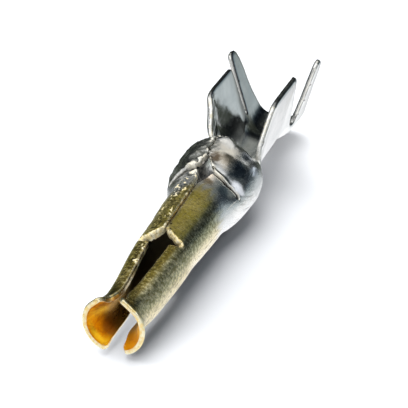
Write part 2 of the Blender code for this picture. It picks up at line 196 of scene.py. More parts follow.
def blank_edge(side, step):
    """One long edge of the blank, from the mouth to the floor's rear edge, as (station, half width)."""
    half = np.pi * R_BLANK
    wide = .31 if side > 0 else .16         # the relief hole is wider on the right
    slot = SLOT_TOP if side > 0 else SLOT_TOP + .05

    def rolled(s):
        r = knots(s, TUBE) + knots(s, BULGE)
        return float((np.pi + side * seam(s)) * r - SEAM_GAP / 2)

    def run(a, b, width):
        n = max(int(round(abs(b - a) / step)), 2)
        return [(s, width(s)) for s in np.linspace(a, b, n + 1)[1:]]

    tab = .20 if side > 0 else .10          # the flared ends reach further round than the tines
    edge = [(0.0, half - slot + tab - .07), (.02, half - slot + tab - .02), (.07, half - slot + tab)]
    edge += run(.07, .45, lambda s: half - slot - .03 + (tab + .03) * (1 - smooth(s, .12, .45)))
    edge += run(.45, S_STRIP - .05, lambda s: half - slot - .03 * (1 - smooth(s, .3, 1)))
    edge += [(S_STRIP - .015, half - slot - .015), (S_STRIP, half - slot - .05)]
    edge += [(S_STRIP, half - W_WIN + .04), (S_STRIP + .02, half - W_WIN), (S_CORNER - .03, half - W_WIN),
             (S_CORNER, half - W_WIN + .03)]
    n = int(round(.62 / step))
    edge += [(float(eave(t, side)), half - SEAM_GAP / 2 - (W_WIN - .03 - SEAM_GAP / 2) * t) for t in np.linspace(1, 0, n + 1)[1:]]
    edge += run(S_APEX, S_HOLE_F, rolled)
    f, r = S_SLIT - SLIT_GAP / 2, S_SLIT + SLIT_GAP / 2
    edge += run(S_HOLE_F, f - .03, lambda s: rolled(s) - wide * (s - S_HOLE_F) / (f - S_HOLE_F))
    edge += [(f, rolled(f) - wide - .03)]
    near, far = rolled(S_SLIT) - wide - .03, (knots(S_SLIT, TUBE) + knots(S_SLIT, BULGE)) * np.radians(SLIT_END)
    n = int(round((near - far) / step))
    edge += [(f, u) for u in np.linspace(near, far + .03, n + 1)[1:]] + [(S_SLIT, far)]
    edge += [(r, u) for u in np.linspace(far + .03, near, n + 1)] + [(r + .03, near + .03)]
    edge += run(r + .03, S_HOLE_R, lambda s: rolled(s) - (wide + .0) * (S_HOLE_R - s) / (S_HOLE_R - r))
    edge += run(S_HOLE_R, S_CREAR - .05, rolled)
    outline = FRONT_WING_R + GAP_R + REAR_WING_R if side > 0 else FRONT_WING_L + GAP_L + REAR_WING_L
    top, notch = rolled(S_CREAR), outline[0][1]
    edge += [(S_CREAR - .01, top - .02)]
    n = int(round((top - notch) / step))
    edge += [(S_CREAR, u) for u in np.linspace(top - .07, notch + .04, n + 1)]
    edge += [(9.19 - .14 * np.cos(a), notch - .14 * np.sin(a)) for a in np.linspace(0, np.pi, 7)[1:-1]]
    wing = []
    for (s0, u0), (s1, u1) in zip(outline[:-1], outline[1:]):
        n = max(int(round(np.hypot(s1 - s0, u1 - u0) / step)), 1)
        wing += [(s0 + (s1 - s0) * t / n, u0 + (u1 - u0) * t / n) for t in range(n)]
    return edge + wing


def slot_edge(side, step):
    """One long edge of the bottom slot, from its rear end to the mouth, as (station, half width)."""
    n = int(round(S_BSLOT / step))
    right = [(0, .05), (.15, .10), (.4, .24), (.75, .31), (1.5, .32), (2.9, .30), (16, .30)]
    left = [(0, .10), (.3, .25), (.75, .38), (1.5, .38), (2.9, .30), (16, .30)]
    width = right if side > 0 else left
    end = [(S_BSLOT - .3 + .3 * np.cos(a), .3 * np.sin(a)) for a in np.linspace(0, np.pi / 2, max(int(.5 / step), 4))[1:]]
    sides = [(s, float(knots(s, width))) for s in np.linspace(S_BSLOT - .3, .12, n)[1:]]
    w = sides[-1][1]
    return [(S_BSLOT, 0.0)] + end + sides + [(.07, w + .004), (.03, w + .02), (.01, w + .05), (0.0, w + .085)]


def mouth_edge(side, step):
    """The mouth's edge between the bottom slot and the top slot, as (station, half width)."""
    near, far = slot_edge(side, step)[-1][1], blank_edge(side, step)[0][1]
    return [(0.0, u) for u in np.linspace(near, far, int(2 / step) + 1)[1:-1]]


def blank_outline(step):
    """The whole outline of the flat blank, as (u, s) points in order."""
    right, left = (slot_edge(side, step) + mouth_edge(side, step) + blank_edge(side, step) for side in (1, -1))
    return [(u, s) for s, u in right] + [(0.0, S_FLOOR)] + [(-u, s) for s, u in reversed(left[1:])]


def blank_plate(step, stations, arcs, inner=0.0, outer=0.0, segments=2):
    """The flat blank as a closed plate with rounded rims, cut across at the stations and along at the arcs."""
    bm = bmesh.new()
    ring = [bm.verts.new((u, s, -SHEET / 2)) for u, s in blank_outline(step)]
    base = bm.faces.new(ring)
    top = bmesh.ops.extrude_face_region(bm, geom=[base])
    bmesh.ops.translate(bm, vec=(0, 0, SHEET), verts=[g for g in top['geom'] if isinstance(g, bmesh.types.BMVert)])
    bmesh.ops.recalc_face_normals(bm, faces=bm.faces[:])
    for side, radius in ((-1, inner), (1, outer)):
        if radius:
            rim = [e for e in bm.edges if all(abs(v.co.z - side * SHEET / 2) < 1e-6 for v in e.verts)]
            bmesh.ops.bevel(bm, geom=rim, offset=radius, segments=segments, profile=.5, affect='EDGES', clamp_overlap=False)
    for axis, places in ((1, stations), (0, arcs)):
        for place in places:
            co, no = [0, 0, 0], [0, 0, 0]
            co[axis], no[axis] = float(place), 1
            bmesh.ops.bisect_plane(bm, geom=bm.verts[:] + bm.edges[:] + bm.faces[:], dist=1e-4, plane_co=co, plane_no=no)
    return bm


# ---------------------------------------------------------------- fine form
def lattice(ix, iy, seed):
    h = (ix.astype(np.int64) * 374761393 + iy.astype(np.int64) * 668265263 + seed * 974634777) & 0x7fffffff
    h = ((h ^ (h >> 13)) * 1274126177) & 0x7fffffff
    h = ((h ^ (h >> 16)) * 2246822519) & 0x7fffffff
    return (h & 0xffff) / 32767.5 - 1.0


def noise(x, y, seed):
    """Smooth value noise from -1 to 1."""
    ix, iy = np.floor(x), np.floor(y)
    fx, fy = x - ix, y - iy
    fx, fy = fx * fx * (3 - 2 * fx), fy * fy * (3 - 2 * fy)
    a, b = lattice(ix, iy, seed), lattice(ix + 1, iy, seed)
    c, d = lattice(ix, iy + 1, seed), lattice(ix + 1, iy + 1, seed)
    return (a + (b - a) * fx) * (1 - fy) + (c + (d - c) * fx) * fy


def hill(s, a, s0, a0, rs, ra, height):
    """A rounded lump or dent around one place; a is the angle from the top in degrees, positive to the right."""
    return height * np.exp(-((s - s0) / rs)**2 - ((a - a0) / ra)**2)


def smooth_line(x, a, b):
    return np.clip((x - a) / (b - a), 0, 1)


def ridged(x, y, seed):
    return 1 - 2 * np.abs(noise(x, y, seed))


def relief(s, u):
    """Waves, pressed facets, crumples and dents of the formed sheet, millimetres along its normal, and a burr mask."""
    a = angle(s, u)
    closed = 1 - smooth(s, 9.05, 9.3)
    front = 1 - smooth(s, 5.6, 6.4)
    d = .005 * noise(s * 1.1, u * 1.6, 3) + .003 * noise(s * 2.3 + 5, u * 3.1, 4) + .0014 * noise(s * 5.1, u * 7.3, 5)
    # the barrel left of its seam is scuffed by the rolling
    scuffed = smooth(s, 3.4, 4.0) * (1 - smooth(s, 6.6, 6.9)) * smooth(a, -75, -50) * (1 - smooth(a, -4, 0)) * (u < 0)
    d += scuffed * (.009 * ridged(s * 2.6 + .4 * u, u * 5.5 + s * .8, 8) + .004 * noise(s * 7.0, u * 14.0, 9))
    collar = smooth(s, 6.5, 7.0) * (1 - smooth(s, 8.95, 9.25)) * (1 - smooth(np.abs(a), 100, 140))
    d += collar * (.010 * noise(s * 1.7 + 2, u * 1.3, 6) + .004 * noise(s * 4.0, u * 3.3, 7))
    left = collar * smooth(-a, 2, 12)
    crumple = ridged(s * 2.1 - u * .9, u * 2.4 + s * 1.3, 21)
    d += left * (.026 * crumple + .016 * ridged(s * 5.0 + u, u * 6.0 - s, 22))
    # dents of the rolling right of the seam, one behind the slit and one at the rear
    d += collar * smooth(a, 6, 14) * (.006 * noise(s * 3.0 + u * .5, u * 3.5, 23) + .003 * ridged(s * 6.0, u * 5.0 + s * 2.0, 24))
    for s0, a0, rs, ra, height in ((7.52, 49, .34, 15, -.060), (7.35, 12, .20, 8, -.030), (8.05, 24, .50, 13, -.020),
                                   (8.35, 46, .28, 10, -.030), (7.85, 62, .20, 6, .020)):
        d += hill(s, a, s0, a0, rs, ra, height) * closed
    burr = 0 * s
    # torn edges and lumps round the relief hole
    wide = np.where(u < 0, .16, .31)
    ahead, behind_slit = S_SLIT - SLIT_GAP / 2, S_SLIT + SLIT_GAP / 2
    hole = wide * np.where(s < S_SLIT, smooth_line(s, S_HOLE_F, ahead), 1 - smooth_line(s, behind_slit, S_HOLE_R))
    brink = (np.pi + np.where(u < 0, -1, 1) * seam(s)) * (knots(s, TUBE) + knots(s, BULGE)) - SEAM_GAP / 2 - hole - np.abs(u)
    rough_edge = .55 + .55 * noise(s * 13.0, u * 11.0, 37) + .30 * noise(s * 29.0, u * 31.0, 38)
    torn = np.exp(-(np.maximum(brink, 0) / .075)**2) * smooth(s, 6.25, 6.5) * (1 - smooth(s, 7.25, 7.5)) * np.clip(rough_edge, 0, 1.2)
    d += .045 * torn
    burr = np.maximum(burr, np.clip(1.25 * torn, 0, 1))
    for s0, a0, rs, ra, height, tone in ((6.95, -21, .15, 12, .085, 1.1), (6.70, -17, .14, 8, .04, .9), (7.18, -9, .09, 5, .05, .95),
                                         (7.00, 12, .10, 7, .06, 1.0), (7.14, 4, .07, 4, .03, .8)):
        lump = hill(s + .05 * noise(s * 7, u * 6, 39), a, s0, a0, rs, ra, 1.0) * (.75 + .5 * noise(s * 12.0, u * 10.0, 40))
        d += height * lump * closed
        burr = np.maximum(burr, np.clip(1.3 * lump, 0, 1) * tone * closed)
    # the window's rear edge is drawn down by the punch
    half = np.pi * R_BLANK
    edge = eave(np.clip((half - SEAM_GAP / 2 - np.abs(u)) / (W_WIN - .03 - SEAM_GAP / 2), 0, 1), u)
    behind = s - edge
    ragged = np.clip(.66 + .55 * noise(u * 13.0, u * 3.0 + 2, 33) + .35 * noise(u * 31.0, s * 9.0, 34), .08, 1.4) * np.where(u < 0, .80, .42)
    drawn = np.exp(-(np.maximum(behind, 0) / (.062 * ragged))**2) * (np.abs(u) > half - W_WIN - .04) * (np.abs(behind) < .35) * (s > S_STRIP + .05)
    d -= .060 * ragged * drawn
    burr = np.maximum(burr, drawn * np.where(u < 0, .95, .62))
    # torn flecks along the tines' slot edges
    slot = half - np.where(u < 0, SLOT_TOP + .05, SLOT_TOP) - np.abs(u)
    torn = smooth(noise(s * 6.0 + .7, u * 2.0, 35) + .35 * noise(s * 17.0, u * 9.0, 36), -.15, .25) * (s < S_STRIP) * smooth(s, 1.3, 1.8)
    torn += (u < 0) * (np.exp(-((s - 2.74) / .10)**2) + .8 * np.exp(-((s - 2.40) / .07)**2) + .7 * np.exp(-((s - 2.12) / .06)**2))
    torn *= np.clip(.65 + .9 * noise(s * 31.0, u * 27.0, 47), 0, 1.2)
    torn *= np.exp(-(np.maximum(slot, 0) / np.where(u < 0, .105, .075))**2) * np.where(u < 0, 1.0, .45)
    d += .018 * torn
    burr = np.maximum(burr, .95 * torn)
    # lips along the slit and the seam, and the collar's rear rim
    wobble = np.clip(.85 + .22 * noise(a * .15, s * 3.0, 31) + .22 * noise(a * .9, s * 13.0, 41), 0, 1.2)
    fade = 1 - smooth(np.abs(a), 70, 80)
    lip = np.exp(-((s - 6.900) / .034)**2) * (s > S_SLIT) * fade * wobble
    d += .012 * lip * np.where(a < -31, .3, 1) - .022 * np.exp(-((s - 7.02) / .04)**2) * (s > S_SLIT) * fade * smooth(np.abs(a), 5, 14)
    burr = np.maximum(burr, np.clip(1.5 * lip, 0, 1) * np.where(a > 0, 1, np.where(a < -31, .20, .55) * np.clip(.6 + 1.1 * noise(a * .6, s * 15.0, 48), 0, 1.3)))
    ledge = np.exp(-((s - 6.80) / .035)**2) * (s < S_SLIT) * fade * wobble * np.where(a > 0, .9, np.clip(.30 + .8 * noise(a * .5, s * 17.0, 49), 0, .7))
    burr = np.maximum(burr, ledge)
    seam_at = np.degrees(seam(s))
    beside = np.where(u < 0, -a, a) + np.where(u < 0, -1, 1) * seam_at
    uneven = np.clip(.5 + .5 * noise(s * 3.3, u * 0 + .5, 32) + .6 * noise(s * 13.0, u * 6.0, 42) + np.where(s > 7.0, .7, .2) * noise(s * 27.0, u * 21.0, 50), 0, 1.3)
    wide_lip = np.where(s > 7.2, 3.2, 1.8) * (.6 + .6 * uneven)
    seam_lip = np.exp(-((beside - np.where(s > 7.2, 3.2, 2.6)) / wide_lip)**2) * smooth(s, S_APEX, S_APEX + .1) * closed
    d += seam_lip * (.006 + .020 * smooth(s, 6.9, 7.3) * uneven)
    burr = np.maximum(burr, seam_lip * np.clip(.15 + .75 * uneven, 0, 1) * np.where(u < 0, np.where(s > 7.7, .85, .62), .6))
    # flakes scraped up left of the seam
    flakes = smooth(noise(s * 6.0 + u * 4.0, u * 17.0 - s * 2.0, 43) + .55 * noise(s * 19.0, u * 29.0, 44), .28, .72)
    flakes *= smooth(a, -62, -40) * (1 - smooth(a, -8, -2)) * (u < 0) * smooth(s, 3.6, 4.2) * (1 - smooth(s, 6.4, 6.8))
    d += .010 * flakes
    burr = np.maximum(burr, .68 * flakes)
    # and ridges drawn up left of the collar's seam
    drag = smooth(ridged(s * 4.5 + u * 1.5, u * 7.0 - s * 3.0, 45) + .5 * noise(s * 16.0, u * 21.0, 46), .45, 1.0)
    drag *= smooth(a, -42, -26) * (1 - smooth(a, -9, -5)) * smooth(s, 7.2, 7.45) * (1 - smooth(s, 8.6, 9.0))
    d += .014 * drag
    burr = np.maximum(burr, .38 * drag)
    rim = np.exp(-((s - 9.0) / .07)**2) * closed * (1 - smooth(np.abs(a), 40, 70))
    d += .01 * rim
    burr = np.maximum(burr, .25 * rim * (a > 0))
    return d, burr


def runs(*parts):
    """Places along a line, from (start, end, step) parts."""
    out = []
    for lo, hi, step in parts:
        out += list(np.arange(lo, hi, step))
    return out


CUTS_S = runs((.03, .6, .04), (.6, 3.1, .085), (3.1, 3.7, .05), (3.7, 6.5, .062), (6.5, 9.2, .034), (9.2, S_FLOOR, .075))
HALF_U = runs((.03, 2.0, .085), (2.0, 3.95, .040))
CUTS_U = sorted([-u for u in HALF_U] + [0.0] + HALF_U)


def edge_distance(pts, ring):
    """Distance from each flat point to the blank's outline, millimetres, up to about 0.3."""
    ends = np.roll(ring, -1, axis=0)
    near = (ring[:, 1] > 9.0) | (ends[:, 1] > 9.0)
    a, b = ring[near], ends[near]
    ab = b - a
    out = []
    for part in np.array_split(pts, max(len(pts) // 4000, 1)):
        t = np.clip(((part[:, None] - a) * ab).sum(-1) / np.maximum((ab**2).sum(-1), 1e-12), 0, 1)
        out.append(np.sqrt((((a + t[..., None] * ab) - part[:, None])**2).sum(-1)).min(axis=1))
    return np.concatenate(out)


def formed_sheet():
    bm = blank_plate(.045, CUTS_S, CUTS_U, inner=.022, outer=.05, segments=3)
    bmesh.ops.dissolve_degenerate(bm, dist=.002, edges=bm.edges[:])
    bmesh.ops.reverse_faces(bm, faces=bm.faces[:])
    flat = np.array([v.co[:] for v in bm.verts])
    u, s, w = flat[:, 0], flat[:, 1], flat[:, 2]
    cut = (np.abs(w) < SHEET / 2 - 1e-5).astype(float)
    # sheared edges are a little uneven
    jag = cut * np.where(s < 6.5, np.where((s > 3.1) & (s < 3.75), .016, .007), .004)
    uu = u + jag * noise(s * 11, w * 30 + u * 11, 11)
    ss = np.maximum(s + jag * noise(u * 11 + 7, w * 30 + s * 11, 12), 0.0)
    rim = np.ones(len(s))
    wing = s > 9.2
    rim[wing] = edge_distance(flat[wing, :2], np.array(blank_outline(.08)))
    worn = np.clip(1 - rim / .15, 0, 1)**2 * smooth(s, 9.25, 9.5)
    ww = w * (1 - .30 * worn) - np.where(w > 0, .035, 0) * worn
    at = form(ss, uu, ww)
    rear = s > S_SLIT
    h = 2e-3
    n = np.cross(mid(s + h, u, rear) - mid(s - h, u, rear), mid(s, u + h, rear) - mid(s, u - h, rear))
    n /= np.maximum(np.linalg.norm(n, axis=1, keepdims=True), 1e-12)
    d, burr = relief(s, u)
    underside = (at[:, 2] < REST_Z + .3) & (s > 6.2) & (s < 9.7)
    at += n * (d * np.where(underside, 0, 1))[:, None]
    low, high = form_box()
    at -= [(low[0] + high[0]) / 2, (low[1] + high[1]) / 2, REST_Z]
    for v, p in zip(bm.verts, at):
        v.co = p * MM
    mesh = bpy.data.meshes.new("contact_sheet")
    bm.to_mesh(mesh)
    bm.free()
    mesh.polygons.foreach_set("use_smooth", [True] * len(mesh.polygons))
    for name, values in (("cut", cut), ("arc", u), ("station", s), ("depth", w), ("burr", burr), ("angle", angle(s, u) / 100), ("rim", rim)):
        layer = mesh.attributes.new(name, 'FLOAT', 'POINT')
        layer.data.foreach_set("value", values.astype(np.float32))
    obj = bpy.data.objects.new("contact_sheet", mesh)
    bpy.context.scene.collection.objects.link(obj)
    weighted = obj.modifiers.new("normals", 'WEIGHTED_NORMAL')
    weighted.weight = 90
    weighted.keep_sharp = True
    return obj


def form_box():
    """The formed blank's corners in x and y, which fix where the CAD part has its origin."""
    pts = np.array(blank_outline(.16))
    out = []
    for w in (-SHEET / 2, SHEET / 2):
        out.append(form(pts[:, 1], pts[:, 0], np.full(len(pts), w)))
    out = np.concatenate(out)
    return out.min(axis=0), out.max(axis=0)


# ---------------------------------------------------------------- materials
class Nodes:
    """Short names for making shader nodes."""

    def __init__(self, tree):
        self.tree = tree
        tree.nodes.clear()

    def add(self, kind, settings=None, **inputs):
        node = self.tree.nodes.new(kind)
        for key, value in (settings or {}).items():
            setattr(node, key, value)
        for key, value in inputs.items():
            self.put(node.inputs[key.replace('_', ' ')], value)
        return node

    def put(self, socket, value):
        if isinstance(value, bpy.types.NodeSocket):
            self.tree.links.new(value, socket)
        else:
            socket.default_value = value

    def math(self, op, a, b=0.0, clamp=False):
        node = self.tree.nodes.new('ShaderNodeMath')
        node.operation, node.use_clamp = op, clamp
        self.put(node.inputs[0], a)
        self.put(node.inputs[1], b)
        return node.outputs[0]

    def ramp(self, value, low, high, a=0.0, b=1.0):
        node = self.tree.nodes.new('ShaderNodeMapRange')
        node.interpolation_type = 'SMOOTHSTEP'
        for key, v in (('Value', value), ('From Min', low), ('From Max', high), ('To Min', a), ('To Max', b)):
            self.put(node.inputs[key], v)
        return node.outputs[0]

    def mix(self, factor, a, b, blend='MIX'):
        node = self.tree.nodes.new('ShaderNodeMix')
        node.data_type, node.blend_type = 'RGBA', blend
        self.put(node.inputs[0], factor)
        self.put(node.inputs[6], a)
        self.put(node.inputs[7], b)
        return node.outputs[2]

    def noise(self, vector, scale, detail=3.0, rough=.55, distort=0.0):
        node = self.tree.nodes.new('ShaderNodeTexNoise')
        self.put(node.inputs['Vector'], vector)
        self.put(node.inputs['Scale'], scale)
        self.put(node.inputs['Detail'], detail)
        self.put(node.inputs['Roughness'], rough)
        self.put(node.inputs['Distortion'], distort)
        return node.outputs['Fac']

    def vec(self, x, y, z):
        node = self.tree.nodes.new('ShaderNodeCombineXYZ')
        for i, v in enumerate((x, y, z)):
            self.put(node.inputs[i], v)
        return node.outputs[0]

    def attribute(self, name):
        node = self.tree.nodes.new('ShaderNodeAttribute')
        node.attribute_name = name
        return node.outputs['Fac']


def rgb(r, g, b):
    return (r, g, b, 1.0)


def plated_sheet():
    mat = bpy.data.materials.new("plated_brass")
    mat.use_nodes = True
    t = Nodes(mat.node_tree)
    out = t.add('ShaderNodeOutputMaterial')
    bsdf = t.add('ShaderNodeBsdfPrincipled')
    t.tree.links.new(bsdf.outputs[0], out.inputs[0])
    s, u, cut, w, burr, angle, rim = (t.attribute(n) for n in ("station", "arc", "cut", "depth", "burr", "angle", "rim"))
    blank = t.vec(u, s, w)
    along = t.vec(t.math('MULTIPLY', u, 6.0), t.math('MULTIPLY', s, .9), w)    # streaks that run with the barrel
    across = t.vec(t.math('MULTIPLY', u, .7), t.math('MULTIPLY', s, 6.0), w)   # marks of the forming rolls
    streak = t.noise(along, 2.2, 5.0, .62)
    hoop = t.noise(across, 1.8, 4.0, .6)
    cloud = t.noise(blank, 1.3, 4.0, .55)
    fine = t.noise(blank, 14.0, 4.0, .6)
    grain = t.noise(t.vec(t.math('MULTIPLY', u, 1.7), s, w), 24.0, 3.0, .65)
    inner = t.ramp(w, .03, -.04)

    # the gold flash ends raggedly in front of the collar
    edge = t.math('ADD', s, t.math('MULTIPLY', t.math('SUBTRACT', t.noise(along, .9, 4.0, .6), .5), 1.5))
    edge = t.math('ADD', edge, t.math('ADD', t.ramp(angle, .25, .70, 0, .55), t.ramp(angle, -.08, -.30, 0, .45)))
    tin = t.ramp(edge, 5.55, 6.35)
    gold = t.mix(t.ramp(cloud, .38, .64), rgb(.82, .67, .12), rgb(1.0, .82, .28))
    # the barrel right of its top is painted a darker teal grey, a painted dark reflection
    gold = t.mix(t.ramp(angle, .38, .48, 0, .80), gold, t.mix(t.ramp(fine, .42, .60), rgb(.26, .28, .21), rgb(.70, .68, .53)))
    gold = t.mix(t.ramp(angle, .72, .98, 0, .85), gold, rgb(.93, .83, .59))                 # paler low on the right flank
    # the tines' turned-in strips are painted dark olive, a painted dark reflection
    strip = t.math('MULTIPLY', t.ramp(t.math('ABSOLUTE', u), 1.70, 1.76), t.ramp(s, 3.12, 3.06))
    gold = t.mix(t.math('MULTIPLY', strip, t.ramp(fine, .40, .62, .96, .55)), gold, rgb(.24, .18, .035))
    gold = t.mix(t.ramp(streak, .50, .68, 0, .65), gold, rgb(.36, .31, .14))
    gold = t.mix(t.ramp(fine, .54, .68, 0, .60), gold, rgb(.98, .90, .52))
    gold = t.mix(t.ramp(fine, .47, .34, 0, .60), gold, rgb(.26, .22, .07))
    # inside the mouth the gold is painted deep orange, a painted warm reflection between its walls
    flare = t.math('MULTIPLY', inner, t.ramp(s, 1.9, .5))
    gold = t.mix(flare, gold, t.mix(t.ramp(cloud, .4, .6), rgb(.80, .365, .005), rgb(.93, .55, .02)))
    # red-brown streaks painted into the painted reflection inside the mouth
    mouth_reflection_streaks = t.math('MULTIPLY', flare, t.ramp(t.noise(blank, 4.5, 5.0, .65, .6), .50, .62, 0, .55))
    gold = t.mix(mouth_reflection_streaks, gold, rgb(.66, .26, .01))
    # painted shade: browner and darker deeper inside the mouth
    deep = t.math('ADD', s, t.math('ADD', t.ramp(t.math('ABSOLUTE', u), 1.60, .80, 0, .42), t.math('MULTIPLY', t.math('MULTIPLY', t.ramp(t.math('ABSOLUTE', u), 1.05, .50), t.ramp(s, .20, .55)), t.ramp(u, -.1, .1, .32, 0))))
    deep = t.math('ADD', deep, t.math('MULTIPLY', t.math('SUBTRACT', cloud, .5), .9))
    gold = t.mix(t.math('MULTIPLY', inner, t.ramp(deep, .78, 1.15, 0, .88)), gold, rgb(.46, .25, .055))
    # the tube's inside is painted near black as shade
    inner_shade = t.math('MULTIPLY', inner, t.ramp(s, 1.1, 2.2))
    inner_shade = t.math('MULTIPLY', inner_shade, t.ramp(s, 9.6, 9.0))
    gold = t.mix(t.math('MULTIPLY', inner_shade, .92), gold, rgb(.09, .07, .03))
    grey = t.mix(t.ramp(cloud, .36, .66), rgb(.79, .81, .82), rgb(.92, .93, .93))
    collar = t.math('MULTIPLY', t.ramp(s, 6.3, 6.9), t.ramp(s, 9.5, 9.1))
    grey = t.mix(t.math('MULTIPLY', collar, t.ramp(streak, .46, .66, 0, .7)), grey, rgb(.40, .41, .40))
    grey = t.mix(t.math('MULTIPLY', collar, t.ramp(fine, .55, .70, 0, .5)), grey, rgb(.93, .91, .84))
    # inside the collar the tin is painted dark as shade
    grey = t.mix(t.math('MULTIPLY', t.math('MULTIPLY', inner, collar), .9), grey, t.mix(t.ramp(t.noise(blank, 12.0, 4.0, .65), .42, .58), rgb(.10, .10, .10), rgb(.50, .47, .43)))
    # the wire barrel's floor is duller; the insulation barrel's floor is painted near black, a painted shade and dark
    # reflection, with painted glints
    wings = t.ramp(s, 9.2, 9.6)
    floor = t.math('MULTIPLY', inner, t.ramp(t.math('ABSOLUTE', u), 1.25, .85))
    dull = t.math('MULTIPLY', floor, t.math('MULTIPLY', wings, t.ramp(s, 12.6, 12.0)))
    grey = t.mix(t.math('MULTIPLY', dull, t.ramp(fine, .4, .65, .35, .9)), grey, rgb(.62, .66, .62))
    rear_floor_shade = t.math('MULTIPLY', floor, t.ramp(s, 12.0, 12.7))
    grey = t.mix(t.math('MULTIPLY', rear_floor_shade, t.ramp(t.noise(blank, 5.0, 4.0, .6), .38, .52, .55, .95)), grey, rgb(.08, .09, .10))
    # painted glints on that dark floor
    rear_floor_glints = t.math('MULTIPLY', rear_floor_shade, t.ramp(t.noise(blank, 19.0, 2.0, .5), .66, .72))
    grey = t.mix(rear_floor_glints, grey, rgb(.92, .92, .92))
    colour = t.mix(tin, gold, grey)
    # burrs: bright where the sheet tore, with a trace of brass
    brass = t.mix(t.ramp(t.noise(blank, 9.0, 3.0), .4, .6), rgb(.90, .74, .38), rgb(.98, .90, .64))
    pale = t.mix(t.ramp(s, 6.3, 6.8), brass, t.mix(t.ramp(t.noise(blank, 7.0, 3.0), .4, .62), rgb(.98, .95, .83), rgb(.89, .82, .66)))
    golden = t.mix(t.ramp(t.noise(blank, 8.0, 3.0), .40, .60), rgb(.95, .76, .36), rgb(1.0, .95, .70))
    brass = t.mix(t.ramp(s, 1.2, .4), brass, golden)
    colour = t.mix(t.math('MULTIPLY', cut, t.ramp(tin, 0, 1, .85, .10)), colour, brass)
    brow = t.math('MULTIPLY', cut, t.math('MULTIPLY', t.ramp(s, 3.10, 3.14), t.ramp(s, 3.75, 3.68)))
    below = t.math('MULTIPLY', t.ramp(u, 0, .05), t.ramp(t.math('ADD', w, t.math('MULTIPLY', t.math('SUBTRACT', fine, .5), .08)), -.005, -.045))
    # the inner half of the right arm's cut face is painted dark as shade
    colour = t.mix(t.math('MULTIPLY', brow, t.math('MULTIPLY', below, .85)), colour, rgb(.10, .075, .03))
    # the left arm's cut face is painted bright cream, a painted highlight
    colour = t.mix(t.math('MULTIPLY', brow, t.ramp(u, 0, -.05, 0, .70)), colour, rgb(1.0, .94, .68))
    pits = t.ramp(t.noise(blank, 21.0, 3.0, .6), .56, .61)
    colour = t.mix(t.math('MULTIPLY', brow, t.math('MULTIPLY', pits, .75)), colour, rgb(.26, .19, .07))
    # painted shade: dark lines along the wings' cut edges and round their inner rims
    line = t.math('MULTIPLY', wings, t.math('MULTIPLY', t.ramp(cut, .04, .30), t.ramp(cut, .98, .70)))
    crease = t.math('MULTIPLY', t.math('MULTIPLY', wings, t.ramp(rim, .055, .025)), t.math('MULTIPLY', inner, t.ramp(cut, .5, .1)))
    colour = t.mix(t.math('MULTIPLY', t.math('MAXIMUM', line, crease), .88), colour, rgb(.07, .075, .08))
    edges = t.math('MULTIPLY', cut, wings)
    shadow_line = t.math('MULTIPLY', edges, t.ramp(t.math('ADD', w, t.math('MULTIPLY', t.math('SUBTRACT', fine, .5), .05)), -.040, -.058))
    colour = t.mix(t.math('MULTIPLY', shadow_line, .85), colour, rgb(.05, .055, .06))
    worn_edge = t.math('MULTIPLY', edges, t.math('MULTIPLY', t.ramp(s, 10.3, 10.0), t.ramp(t.noise(blank, 6.0, 4.0, .6, .5), .48, .62, 0, .75)))
    colour = t.mix(worn_edge, colour, rgb(.62, .58, .42))
    # the wire wings' top cut edges are painted near black, a painted dark reflection
    crown = t.math('MULTIPLY', edges, t.math('MULTIPLY', t.ramp(t.math('ABSOLUTE', u), 2.80, 2.90), t.ramp(s, 12.75, 12.5)))
    colour = t.mix(t.math('MULTIPLY', crown, t.ramp(streak, .38, .60, .95, .70)), colour, rgb(.07, .08, .09))
    # painted shade at the foot of the notch between the wire and insulation wings
    foot = t.math('MULTIPLY', edges, t.math('MULTIPLY', t.ramp(t.math('ABSOLUTE', u), 1.45, 1.30), t.math('MULTIPLY', t.ramp(s, 13.0, 13.1), t.ramp(s, 13.9, 13.8))))
    colour = t.mix(t.math('MULTIPLY', foot, t.ramp(fine, .40, .56, .92, .35)), colour, rgb(.09, .095, .10))
    colour = t.mix(t.math('MULTIPLY', t.ramp(burr, .22, .70, 0, .95), t.ramp(t.math('MULTIPLY', brow, t.math('MAXIMUM', below, pits)), 0, 1, 1, .2)), colour, pale)

    # a painted shadow line just behind the slit
    behind = t.math('MULTIPLY', t.ramp(s, 6.930, 6.950), t.ramp(s, 7.03, 6.985))
    reach = t.math('ADD', t.math('MULTIPLY', t.ramp(angle, .06, .13), t.ramp(angle, .80, .72)), t.math('MULTIPLY', t.ramp(angle, -.26, -.31), t.ramp(angle, -.80, -.70)))
    behind = t.math('MULTIPLY', t.math('MULTIPLY', behind, reach), t.ramp(w, -.03, .0))
    colour = t.mix(t.math('MULTIPLY', behind, t.ramp(fine, .62, .48, .45, .9)), colour, rgb(.09, .095, .10))
    # the slit's front-facing edge: bright along its outer rim, with painted shade below, tapering to the right
    sill = t.math('MULTIPLY', t.math('MULTIPLY', cut, t.ramp(angle, .05, .10)), t.math('MULTIPLY', t.ramp(s, 6.865, 6.875), t.ramp(s, 6.93, 6.91)))
    under = t.math('SUBTRACT', t.math('ADD', t.math('MULTIPLY', angle, .185), -.071), w)
    under = t.math('MULTIPLY', sill, t.ramp(t.math('ADD', under, t.math('MULTIPLY', t.math('SUBTRACT', fine, .5), .05)), -.008, .022))
    colour = t.mix(t.math('MULTIPLY', under, .88), colour, rgb(.11, .105, .10))
